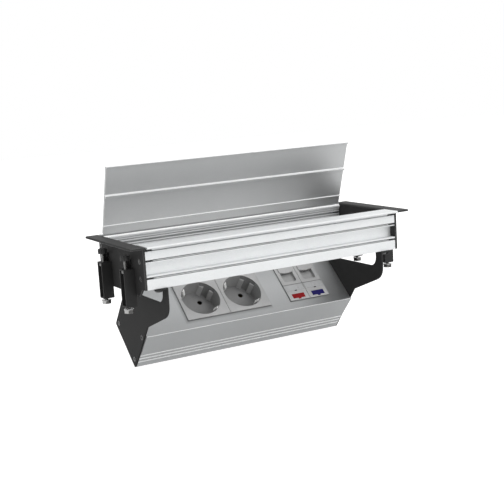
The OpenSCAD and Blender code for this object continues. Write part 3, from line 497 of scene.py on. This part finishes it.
# Front rail: thin strips run along its slots and its lip's groove, bright ones in the slots as painted
# light on the slots' floors and a lighter one that eases the groove's shade; the floor of its band is
# painted lighter as painted light
slotStrips = {"heights": (-10.85, -25.75), "half": 0.2, "nose": 0.1, "face": -47.6, "back": -46.4,
              "end": 122.8, "finish": "painted_highlight"}
lipStrip = {"heights": (-1.25,), "half": 1.0, "nose": 0.3, "face": -47.0, "back": -44.5,
            "end": 122.8, "finish": "shaded_aluminium"}
band = {"face": -41.0, "within": 0.1}
squarely = 0.9  # a face looks one way when its normal's share along that way is larger


def addStrip(v, z):
    y0, y1, half, nose = v["face"], v["back"], v["half"], v["nose"]
    outline = [(y1, z - half), (y0 + nose, z - half), (y0, z - half + nose), (y0, z + half - nose),
               (y0 + nose, z + half), (y1, z + half)]
    bm = bmesh.new()
    start, end = ([bm.verts.new((x * mm, y * mm, h * mm)) for y, h in outline]
                  for x in (-v["end"], v["end"]))
    for k in range(len(outline)):
        n = (k + 1) % len(outline)
        bm.faces.new((start[k], start[n], end[n], end[k]))
    bm.faces.new(start)
    bm.faces.new(end)
    bmesh.ops.recalc_face_normals(bm, faces=bm.faces)
    strip = newPiece("slot_strip", bm, v["finish"])
    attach(strip, bodyOf["front_rail"])


def onBand(face):
    return abs(face.center.y / mm - band["face"]) < band["within"] and face.normal.y < -squarely


for strips in (slotStrips, lipStrip):
    for height in strips["heights"]:
        addStrip(strips, height)
refinish(eased["front_rail"], "lit_band_aluminium", onBand)


# Rear rail: its inner side is painted darker as painted shade of the opening, and its grooves darker still
# as deeper painted shade, up to where their faces turn endwise
innerSide = {"upTo": 46.5, "below": 1.8, "grooveFrom": 44.7, "grooveBack": 47.1, "grooveBelow": -3.6,
             "endwise": 0.5}


def onInnerSide(face, v=innerSide):
    return face.center.y / mm < v["upTo"] and face.center.z / mm < v["below"]


def inGroove(face, v=innerSide):
    return (v["grooveFrom"] < face.center.y / mm < v["grooveBack"]
            and face.center.z / mm < v["grooveBelow"] and abs(face.normal.x) < v["endwise"])


refinish(eased["rear_rail"], "shaded_aluminium", onInnerSide)
refinish(eased["rear_rail"], "groove_shade", inGroove)
print("rails finished")


# Lid: a painted highlight along the bead under a line of painted shade, and painted light on the upper
# flanks of the ribs.
# The lines are stretches of the bead's round, in degrees about the hinge
lidShine = {"hinge": (45.4, 0.0), "beadReach": 2.6, "bright": (150, 195), "dark": (92, 150),
            "ribFlank": Vector((0, -0.61, 0.79)), "flankShare": 0.93, "ribsAbove": 4.0}


def onBead(face, between, v=lidShine):
    y, z = face.center.y / mm - v["hinge"][0], face.center.z / mm - v["hinge"][1]
    turn = math.degrees(math.atan2(z, y)) % 360
    return math.hypot(y, z) < v["beadReach"] and between[0] <= turn < between[1]


def onRibFlank(face, v=lidShine):
    return face.center.z / mm > v["ribsAbove"] and face.normal.dot(v["ribFlank"]) > v["flankShare"]


refinish(eased["lid"], "painted_shine", lambda face: onBead(face, lidShine["bright"]))
refinish(eased["lid"], "painted_shade_aluminium", lambda face: onBead(face, lidShine["dark"]))
refinish(eased["lid"], "painted_highlight", onRibFlank)
print("lid finished")


# Socket profile: its face painted lighter as painted light, its front below the lip painted darker as
# painted shade, and a painted highlight along the lip's rounded corner
profileFace = {"above": -1.5, "cornerUp": 0.4, "cornerOut": -0.45}


def onFace(face, v=profileFace):
    return face.normal.dot(faceOut) > squarely and faceCoordinates(face.center)[2] > v["above"]


def onFront(face):
    return face.material_index == 0 and face.normal.dot(faceUp) < -squarely


def onLipCorner(face, v=profileFace):
    x, s, h = faceCoordinates(face.center)
    return s < v["cornerUp"] and h > v["cornerOut"]


refinish(eased["socket_profile"], "lit_and_shaded_face", onFace)
refinish(eased["socket_profile"], "painted_shade_aluminium", onFront)
refinish(eased["socket_profile"], "painted_highlight", onLipCorner)


# Side walls of the plates, frames and covers that stand on the profile: the wall's stretch of h, and
# how far it may lean
sideWall = {"low": -1.25, "high": -0.35, "lean": 0.3}


def isUpright(face, v=sideWall):
    return abs(face.normal.dot(faceOut)) < v["lean"]


def onSideWall(face, v=sideWall):
    return isUpright(face) and v["low"] < faceCoordinates(face.center)[2] < v["high"]


# Mains sockets: painted shade makes the hollow darker than the plate, and darkest on its floor, between the
# two guide ribs and on the plate's side walls; the ribs stand on the diagonal and keep the plate's color
socketHollow = {"radius": 19.15, "rib": 2.25, "ribHalf": 7.9, "near": 0.3, "ribNear": 0.15,
                "floorBelow": -12.0, "plateFrom": 20.5, "up": mains["low"] + mains["side"] / 2,
                "middles": {"left_mains_insert": mains["left"] + mains["side"] / 2,
                            "right_mains_insert": mains["left"] + mains["side"] * 3 / 2}}


def finishMainsSocket(nodeName, middle, v=socketHollow):
    def fromMiddle(face):
        x, s, h = faceCoordinates(face.center)
        return x - middle, s - v["up"], h

    def inHollow(face):
        x, s, h = fromMiddle(face)
        out = math.hypot(x, s)
        along, across = abs(x + s) / math.sqrt(2), abs(x - s) / math.sqrt(2)
        onRib = v["radius"] - v["rib"] - v["near"] < along < v["radius"] and across < v["ribHalf"]
        return (h < -v["near"] and out < v["radius"] + v["near"]
                and not (onRib and out < v["radius"] - v["ribNear"]))

    def betweenRibs(face):
        x, s, h = fromMiddle(face)
        return (h < -v["near"] and abs(math.hypot(x, s) - v["radius"]) < v["near"] and x + s > 0
                and abs(x - s) / math.sqrt(2) < v["ribHalf"])

    def onFloor(face):
        isFlat = face.normal.dot(faceOut) > squarely
        return isFlat and inHollow(face) and fromMiddle(face)[2] < v["floorBelow"]

    def onPlateEdge(face):
        x, s, h = fromMiddle(face)
        return onSideWall(face) and math.hypot(x, s) > v["plateFrom"]

    refinish(eased[nodeName], "hollow_shade", inHollow)
    for chosen in (betweenRibs, onFloor, onPlateEdge):
        refinish(eased[nodeName], "hollow_floor", chosen)


for nodeName, middle in socketHollow["middles"].items():
    finishMainsSocket(nodeName, middle)
for side in ("left", "right"):
    refinish(eased[side + "_data_frame"], "gap_shadow", onSideWall)
    refinish(eased[side + "_label_cover"], "gap_shadow", isUpright)
print("sockets finished")


# Clamp screws: rolled thread on the shank, head and cross slot from the node's own mesh. The last
# values say how level a face of the shank looks, and how much a face of the head looks to the front or
# back, to the right and upwards
clampScrew = {"shank": 1.5, "root": 1.2, "pitch": 0.5, "from": -53.7, "to": -11.8, "sides": 20,
              "rows": 4, "edge": 0.18, "edgeSteps": 2, "sharp": 25, "soft": 35, "within": 0.03,
              "level": 0.1, "frontOrBack": 0.95, "toTheRight": 0.4, "upwards": 0.3}


def threadInto(bm, center, v):
    rows = int((v["to"] - v["from"]) / v["pitch"] * v["rows"])
    rings = []
    for row in range(rows + 1):
        z = v["from"] + (v["to"] - v["from"]) * row / rows
        ring = []
        for k in range(v["sides"]):
            turn = 2 * math.pi * k / v["sides"]
            phase = (z / v["pitch"] - k / v["sides"]) % 1.0
            radius = v["root"] + (v["shank"] - v["root"]) * abs(2 * phase - 1)
            ring.append(bm.verts.new((center.x + radius * mm * math.cos(turn),
                                      center.y + radius * mm * math.sin(turn), z * mm)))
        rings.append(ring)
    for low, high in zip(rings, rings[1:]):
        for k in range(v["sides"]):
            n = (k + 1) % v["sides"]
            bm.faces.new((low[k], low[n], high[n], high[k]))
    bm.faces.new(reversed(rings[0]))
    bm.faces.new(rings[-1])


# Easing the head leaves corners and faces in an order that changes from run to run, so they are sorted
def sortByPlace(bm):
    for number, corner in enumerate(sorted(bm.verts, key=lambda corner: tuple(corner.co))):
        corner.index = number
    for number, face in enumerate(sorted(bm.faces, key=lambda face: sorted(c.index for c in face.verts))):
        face.index = number
    bm.verts.sort()
    bm.faces.sort()


def makeClampScrew(nodeName, v):
    low, high = (Vector(corner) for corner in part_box(nodeName))
    center = (low + high) / 2
    bm = ownMesh(nodeName)

    def onShank(corner):
        reach = math.hypot(corner.co.x - center.x, corner.co.y - center.y) / mm
        return abs(reach - v["shank"]) < v["within"]

    shank = [face for face in bm.faces
             if abs(face.normal.z) < v["level"] and all(map(onShank, face.verts))]
    bmesh.ops.delete(bm, geom=shank, context="FACES")
    joinFlatFaces(bm)
    sharp = [edge for edge in bm.edges
             if len(edge.link_faces) == 2 and edge.calc_face_angle() > math.radians(v["sharp"])]
    bmesh.ops.bevel(bm, geom=sharp, offset=v["edge"] * mm, segments=v["edgeSteps"], affect="EDGES",
                    profile=0.5, clamp_overlap=True)
    threadInto(bm, center, v)
    sortByPlace(bm)
    piece = newPiece(nodeName + "_threaded", bm, slotOf[nodeName])
    shadeSoft(piece, v["soft"])

    # Painted reflections on the head's flats: dark to front and back, dimmer to the right, and bright where
    # they look up
    def onHead(face):
        return face.center.z / mm < v["from"]

    refinish(piece, "zinc_painted_dark", lambda face: onHead(face) and abs(face.normal.y) > v["frontOrBack"])
    refinish(piece, "zinc_painted_dim", lambda face: onHead(face) and face.normal.x > v["toTheRight"])
    refinish(piece, "painted_shine", lambda face: onHead(face) and face.normal.z > v["upwards"])
    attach(piece, bodyOf[nodeName])
    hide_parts(nodeName)


clampNames = [side + "_" + end for side in ("left", "right") for end in ("front", "rear")]
for name in clampNames:
    makeClampScrew(name + "_clamp_screw", clampScrew)
print("clamp screws threaded:", len(clampNames))


# Studio: a white floor under the block, a white sky, and soft lamps around and above
studio = {
    "floorBelow": 0.1265,
    "floorSize": 6.0,
    "floorColor": (0.42, 0.42, 0.42),
    "floorLift": 0.86,  # what the camera sees of the floor beside its lit paint
    "ambient": 0.5,
    "aim": (0, 0, -0.03),
    "lamps": [
        {"name": "keyLamp", "place": (1.6, -2.7, 2.4), "size": 2.0, "power": 75},
        {"name": "fillLamp", "place": (0.6, -3.6, 0.1), "size": 2.0, "power": 46},
        {"name": "topLamp", "place": (-0.2, -0.4, 3.2), "size": 2.6, "power": 46},
        {"name": "backLamp", "place": (0.6, 3.0, 1.6), "size": 2.0, "power": 30},
    ],
}
white = (1, 1, 1, 1)
black = (0, 0, 0, 1)


# 1 for rays from the camera, also where metal or glass turns them, and 0 for the light's own
def seenRays(n):
    rays = n.add("ShaderNodeLightPath").outputs
    direct = n.sums("MAXIMUM", rays["Is Camera Ray"], rays["Is Glossy Ray"])
    return n.sums("MAXIMUM", direct, rays["Is Transmission Ray"])


def addFloor(s):
    mesh = bpy.data.meshes.new("floor")
    half = s["floorSize"] / 2
    z = -s["floorBelow"]
    mesh.from_pydata([(-half, -half, z), (half, -half, z), (half, half, z), (-half, half, z)], [],
                     [(0, 1, 2, 3)])
    floor = bpy.data.objects.new("floor", mesh)
    bpy.context.collection.objects.link(floor)
    n = Nodes(bpy.data.materials.new("floor paint"))
    paint = n.add("ShaderNodeBsdfDiffuse", {"Color": (*s["floorColor"], 1)})
    lift = n.add("ShaderNodeEmission", {"Color": white, "Strength": s["floorLift"]})
    dark = n.add("ShaderNodeEmission", {"Color": black, "Strength": 0})
    seen = n.add("ShaderNodeMixShader", {0: seenRays(n), 1: dark.outputs[0], 2: lift.outputs[0]})
    n.end(n.add("ShaderNodeAddShader", {0: paint.outputs[0], 1: seen.outputs[0]}))
    mesh.materials.append(n.owner)


def addSky(s):
    world = bpy.data.worlds.new("studio")
    bpy.context.scene.world = world
    n = Nodes(world, "ShaderNodeOutputWorld")
    lit = n.add("ShaderNodeBackground", {"Color": white, "Strength": s["ambient"]})
    seen = n.add("ShaderNodeBackground", {"Color": white, "Strength": 1.0})
    n.end(n.add("ShaderNodeMixShader", {0: seenRays(n), 1: lit.outputs[0], 2: seen.outputs[0]}))


def addLamp(v, target):
    data = bpy.data.lights.new(v["name"], "AREA")
    data.shape = "DISK"
    data.size = v["size"]
    data.energy = v["power"]
    lamp = bpy.data.objects.new(v["name"], data)
    bpy.context.collection.objects.link(lamp)
    lamp.location = v["place"]
    aim = Vector(target) - Vector(v["place"])
    lamp.rotation_euler = aim.to_track_quat("-Z", "Y").to_euler()
    lamp.visible_camera = False
    lamp.visible_glossy = False


addFloor(studio)
addSky(studio)
for lampValues in studio["lamps"]:
    addLamp(lampValues, studio["aim"])
bpy.context.scene.view_settings.view_transform = "Standard"
print("studio lit")
